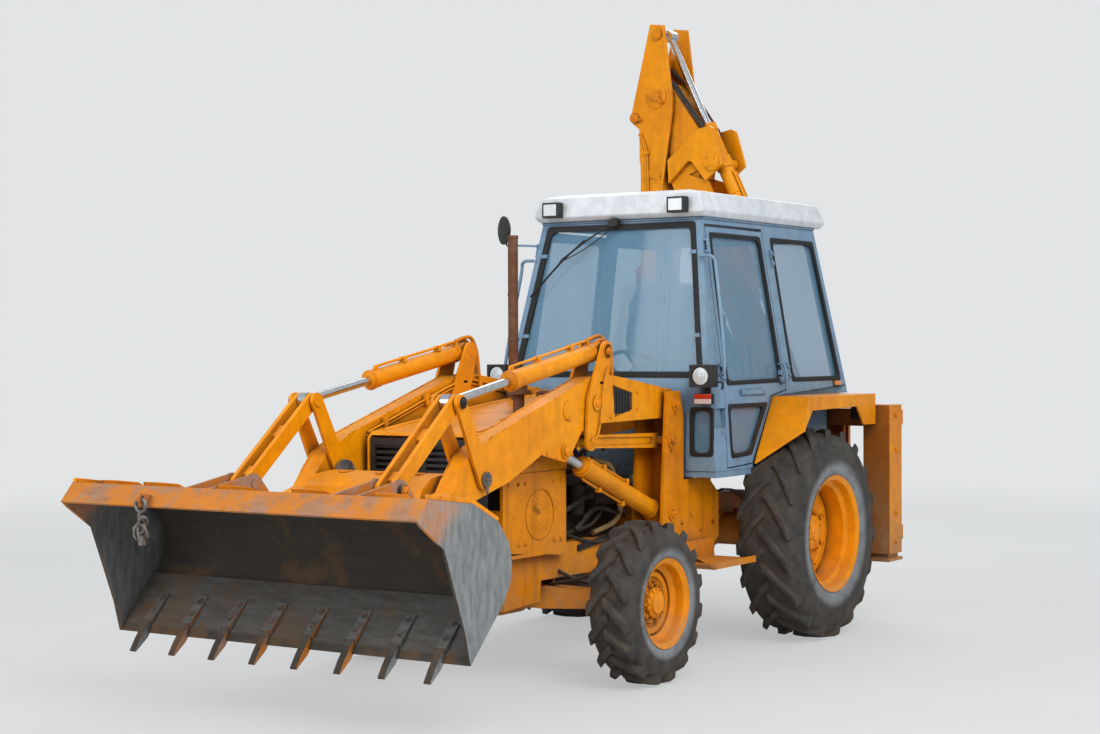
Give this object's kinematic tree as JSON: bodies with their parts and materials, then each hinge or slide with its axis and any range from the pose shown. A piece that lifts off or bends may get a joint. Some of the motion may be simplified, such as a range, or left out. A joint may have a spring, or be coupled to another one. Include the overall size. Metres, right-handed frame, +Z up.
{
  "type": "backhoe loader",
  "caption": "Backhoe loader: wheeled tractor with a cab, a front loader bucket on parallel-lift arms and a side-shifting backhoe parked folded at the rear.",
  "frame": {"origin": "on the ground, under the middle of the machine's length and of its track", "axes": "+X forward to the loader bucket, +Y to the machine's left, +Z up"},
  "size_m": [6.4511, 2.3968, 4.399],
  "materials": {
    "orange_paint": "weathered",
    "grey_blue_paint": "weathered",
    "white_paint": "weathered",
    "window_glass": "clear",
    "black_plastic": "matte",
    "dark_cast": "oily",
    "rusty_steel": "rusty",
    "tyre_rubber": "matte, muddy",
    "chromed_rod": "polished",
    "worn_steel": "scraped, with mud"
  },
  "bodies": {
    "chassis": {"chassis_frame": "orange_paint", "engine_block": "dark_cast", "front_axle": "orange_paint", "rear_axle": "orange_paint", "bonnet": "orange_paint", "grille": "black_plastic", "cab_base": "grey_blue_paint", "cab_frame": "grey_blue_paint", "cab_roof": "white_paint", "cab_glass": "window_glass", "seat": "black_plastic", "cab_controls": "black_plastic", "rear_fenders": "orange_paint", "side_steps": "orange_paint", "exhaust_stack": "rusty_steel", "lamps": "black_plastic", "rear_frame": "orange_paint"},
    "knuckle_left": {"knuckle_left": "orange_paint"},
    "knuckle_right": {"knuckle_right": "orange_paint"},
    "wheel_front_left": {"front_tyre_left": "tyre_rubber", "front_rim_left": "orange_paint"},
    "wheel_front_right": {"front_tyre_right": "tyre_rubber", "front_rim_right": "orange_paint"},
    "wheel_rear_left": {"rear_tyre_left": "tyre_rubber", "rear_rim_left": "orange_paint"},
    "wheel_rear_right": {"rear_tyre_right": "tyre_rubber", "rear_rim_right": "orange_paint"},
    "door_left": {"door_left": "grey_blue_paint", "door_glass_left": "window_glass"},
    "door_right": {"door_right": "grey_blue_paint", "door_glass_right": "window_glass"},
    "loader_arms": {"loader_arms": "orange_paint"},
    "levelling_levers": {"levelling_levers": "orange_paint"},
    "levelling_links": {"levelling_links": "orange_paint"},
    "lift_barrels": {"lift_barrels": "orange_paint"},
    "lift_rods": {"lift_rods": "chromed_rod"},
    "tilt_barrels": {"tilt_barrels": "orange_paint"},
    "tilt_rods": {"tilt_rods": "chromed_rod"},
    "swing_pins": {"swing_pins": "worn_steel"},
    "swing_levers": {"swing_levers": "orange_paint"},
    "tipping_links": {"tipping_links": "orange_paint"},
    "bucket_pins": {"bucket_pins": "worn_steel"},
    "loader_bucket": {"loader_bucket": "worn_steel", "lip_chain": "rusty_steel"},
    "carriage": {"carriage": "orange_paint"},
    "kingpost": {"kingpost": "orange_paint"},
    "boom": {"boom": "orange_paint"},
    "boom_ram_barrel": {"boom_ram_barrel": "orange_paint"},
    "boom_ram_rod": {"boom_ram_rod": "chromed_rod"},
    "dipper": {"dipper": "orange_paint"},
    "dipper_ram_barrel": {"dipper_ram_barrel": "orange_paint"},
    "dipper_ram_rod": {"dipper_ram_rod": "chromed_rod"},
    "bucket_ram_barrel": {"bucket_ram_barrel": "orange_paint"},
    "bucket_ram_rod": {"bucket_ram_rod": "chromed_rod"},
    "bucket_rocker": {"bucket_rocker": "orange_paint"},
    "bucket_link": {"bucket_link": "orange_paint"},
    "dig_bucket": {"dig_bucket": "worn_steel"},
    "stabiliser_left": {"stabiliser_left": "orange_paint"},
    "stabiliser_right": {"stabiliser_right": "orange_paint"}
  },
  "joints": [
    {"name": "lift", "type": "hinge", "parent": "chassis", "child": "loader_arms", "pos_m": [-0.241, 0, 1.563], "axis": [0, -1, 0], "range_deg": [-12, 58]},
    {"name": "levelling_lever", "type": "hinge", "parent": "loader_arms", "child": "levelling_levers", "pos_m": [0.645, 0, 1.59], "axis": [0, -1, 0], "range_deg": [-58.5, 12.5]},
    {"name": "levelling_link", "type": "hinge", "parent": "chassis", "child": "levelling_links", "pos_m": [-0.189, 0, 1.337], "axis": [0, -1, 0], "range_deg": [-12.5, 58.5]},
    {"name": "lift_ram", "type": "hinge", "parent": "chassis", "child": "lift_barrels", "pos_m": [-0.195, 0, 0.889], "axis": [0, -1, 0], "range_deg": [-9.38, 43.42]},
    {"name": "lift_ram_rod", "type": "slide", "parent": "lift_barrels", "child": "lift_rods", "axis": [0.935, 0, 0.3545], "range_m": [-0.1171, 0.5506]},
    {"name": "tilt_ram", "type": "hinge", "parent": "levelling_levers", "child": "tilt_barrels", "pos_m": [0.52, 0, 1.893], "axis": [0, -1, 0], "range_deg": [-10.34, 48.06]},
    {"name": "swing_pin", "type": "hinge", "parent": "loader_arms", "child": "swing_pins", "pos_m": [1.773, 0, 1.208], "axis": [0, -1, 0], "range_deg": [-45.45, 9.8]},
    {"name": "bucket_pin", "type": "hinge", "parent": "loader_arms", "child": "bucket_pins", "pos_m": [2.275, 0, 0.9], "axis": [0, -1, 0], "range_deg": [-58.5, 12.5]},
    {"name": "tilt", "type": "hinge", "parent": "bucket_pins", "child": "loader_bucket", "pos_m": [2.275, 0, 0.9], "axis": [0, 1, 0], "range_deg": [-70, 8]},
    {"name": "swing_lever", "type": "hinge", "parent": "swing_pins", "child": "swing_levers", "pos_m": [1.773, 0, 1.208], "axis": [0, 1, 0], "range_deg": [-48.24, 5.96]},
    {"name": "tilt_ram_rod", "type": "slide", "parent": "tilt_barrels", "child": "tilt_rods", "axis": [0.9839, 0, -0.1785], "range_m": [-0.4091, 0.0503]},
    {"name": "tipping_link", "type": "hinge", "parent": "tilt_rods", "child": "tipping_links", "pos_m": [1.992, 0, 1.626], "axis": [0, 1, 0], "range_deg": [-1.03, 5.13]},
    {"name": "steer_left", "type": "hinge", "parent": "chassis", "child": "knuckle_left", "pos_m": [0.746, 0.745, 0.465], "axis": [0, 0, 1], "range_deg": [-38, 38]},
    {"name": "spin_front_left", "type": "hinge", "parent": "knuckle_left", "child": "wheel_front_left", "pos_m": [0.746, 0.965, 0.465], "axis": [0, 1, 0], "continuous": true},
    {"name": "steer_right", "type": "hinge", "parent": "chassis", "child": "knuckle_right", "pos_m": [0.746, -0.745, 0.465], "axis": [0, 0, 1], "range_deg": [-38.5, 38.5]},
    {"name": "spin_front_right", "type": "hinge", "parent": "knuckle_right", "child": "wheel_front_right", "pos_m": [0.746, -0.965, 0.465], "axis": [0, 1, 0], "continuous": true},
    {"name": "spin_rear_left", "type": "hinge", "parent": "chassis", "child": "wheel_rear_left", "pos_m": [-1.425, 0.935, 0.688], "axis": [0, 1, 0], "continuous": true},
    {"name": "spin_rear_right", "type": "hinge", "parent": "chassis", "child": "wheel_rear_right", "pos_m": [-1.425, -0.935, 0.688], "axis": [0, 1, 0], "continuous": true},
    {"name": "door_left", "type": "hinge", "parent": "chassis", "child": "door_left", "pos_m": [-0.567, 0.781, 1.654], "axis": [0.0269, 0.1493, -0.9884], "range_deg": [0, 80]},
    {"name": "door_right", "type": "hinge", "parent": "chassis", "child": "door_right", "pos_m": [-0.567, -0.781, 1.654], "axis": [-0.0269, 0.1493, 0.9884], "range_deg": [0, 80]},
    {"name": "stabiliser_left", "type": "slide", "parent": "chassis", "child": "stabiliser_left", "axis": [0, 0, -1], "range_m": [0, 0.5]},
    {"name": "stabiliser_right", "type": "slide", "parent": "chassis", "child": "stabiliser_right", "axis": [0, 0, -1], "range_m": [0, 0.5]},
    {"name": "sideshift", "type": "slide", "parent": "chassis", "child": "carriage", "axis": [0, -1, 0], "range_m": [0, 0.9]},
    {"name": "slew", "type": "hinge", "parent": "carriage", "child": "kingpost", "pos_m": [-2.785, 0.45, 0.95], "axis": [0, 0, -1], "range_deg": [-5, 175]},
    {"name": "boom", "type": "hinge", "parent": "kingpost", "child": "boom", "pos_m": [-2.80853, 0.18103, 0.75], "axis": [0.9962, -0.0872, 0], "range_deg": [0, 105]},
    {"name": "boom_ram", "type": "hinge", "parent": "kingpost", "child": "boom_ram_barrel", "pos_m": [-2.79894, 0.29061, 1.19], "axis": [0.9962, -0.0872, 0], "range_deg": [-0.5, 106.02]},
    {"name": "boom_ram_rod", "type": "slide", "parent": "boom_ram_barrel", "child": "boom_ram_rod", "axis": [-0.0327, -0.3743, 0.9267], "range_m": [-0.004, 0.7235]},
    {"name": "dipper", "type": "hinge", "parent": "boom", "child": "dipper", "pos_m": [-2.90824, -0.95862, 3.842], "axis": [-0.9962, 0.0872, 0], "range_deg": [0, 103]},
    {"name": "dipper_ram", "type": "hinge", "parent": "boom", "child": "dipper_ram_barrel", "pos_m": [-2.86396, -0.45255, 3.306], "axis": [-0.9962, 0.0872, 0], "range_deg": [-0.5, 19.22]},
    {"name": "dipper_ram_rod", "type": "slide", "parent": "dipper_ram_barrel", "child": "dipper_ram_rod", "axis": [-0.0381, -0.4355, 0.8994], "range_m": [-0.7092, 0.004]},
    {"name": "dig_bucket", "type": "hinge", "parent": "dipper", "child": "dig_bucket", "pos_m": [-2.91573, -1.04429, 2.4], "axis": [-0.9962, 0.0872, 0], "range_deg": [0, 120]},
    {"name": "bucket_rocker", "type": "hinge", "parent": "dipper", "child": "bucket_rocker", "pos_m": [-2.91486, -1.03433, 2.7], "axis": [-0.9962, 0.0872, 0], "range_deg": [-0.5, 105.62]},
    {"name": "bucket_link", "type": "hinge", "parent": "bucket_rocker", "child": "bucket_link", "pos_m": [-2.92619, -1.16384, 2.5], "axis": [-0.9962, 0.0872, 0], "range_deg": [-111.5, 0.5]},
    {"name": "bucket_ram", "type": "hinge", "parent": "dipper", "child": "bucket_ram_barrel", "pos_m": [-2.9255, -1.15587, 3.688], "axis": [-0.9962, 0.0872, 0], "range_deg": [-0.5, 2.73]},
    {"name": "bucket_ram_rod", "type": "slide", "parent": "bucket_ram_barrel", "child": "bucket_ram_rod", "axis": [-0.0006, -0.0067, -1], "range_m": [-0.381, 0.004]}
  ],
  "couplings": [
    {"joint": "levelling_lever", "follows": "lift", "ratio": -1},
    {"joint": "levelling_link", "follows": "lift", "ratio": 1},
    {"joint": "lift_ram", "follows": "lift", "ratio": 0.74},
    {"joint": "lift_ram_rod", "follows": "lift", "m_per_rad": 0.54},
    {"joint": "tilt_ram", "follows": "lift", "ratio": 0.82},
    {"joint": "swing_pin", "follows": "lift", "ratio": -0.775},
    {"joint": "bucket_pin", "follows": "lift", "ratio": -1},
    {"joint": "swing_lever", "follows": "tilt", "ratio": 0.682},
    {"joint": "tilt_ram_rod", "follows": "tilt", "m_per_rad": 0.3316},
    {"joint": "tipping_link", "follows": "tilt", "ratio": -0.0662},
    {"joint": "steer_right", "follows": "steer_left", "ratio": 1},
    {"joint": "boom_ram", "follows": "boom", "ratio": 1.005},
    {"joint": "boom_ram_rod", "follows": "boom", "m_per_rad": 0.3926},
    {"joint": "dipper_ram", "follows": "dipper", "ratio": 0.1817},
    {"joint": "dipper_ram_rod", "follows": "dipper", "m_per_rad": -0.3923},
    {"joint": "bucket_rocker", "follows": "dig_bucket", "ratio": 0.876},
    {"joint": "bucket_link", "follows": "dig_bucket", "ratio": -0.925},
    {"joint": "bucket_ram", "follows": "dig_bucket", "ratio": 0.0186},
    {"joint": "bucket_ram_rod", "follows": "dig_bucket", "m_per_rad": -0.18}
  ]
}
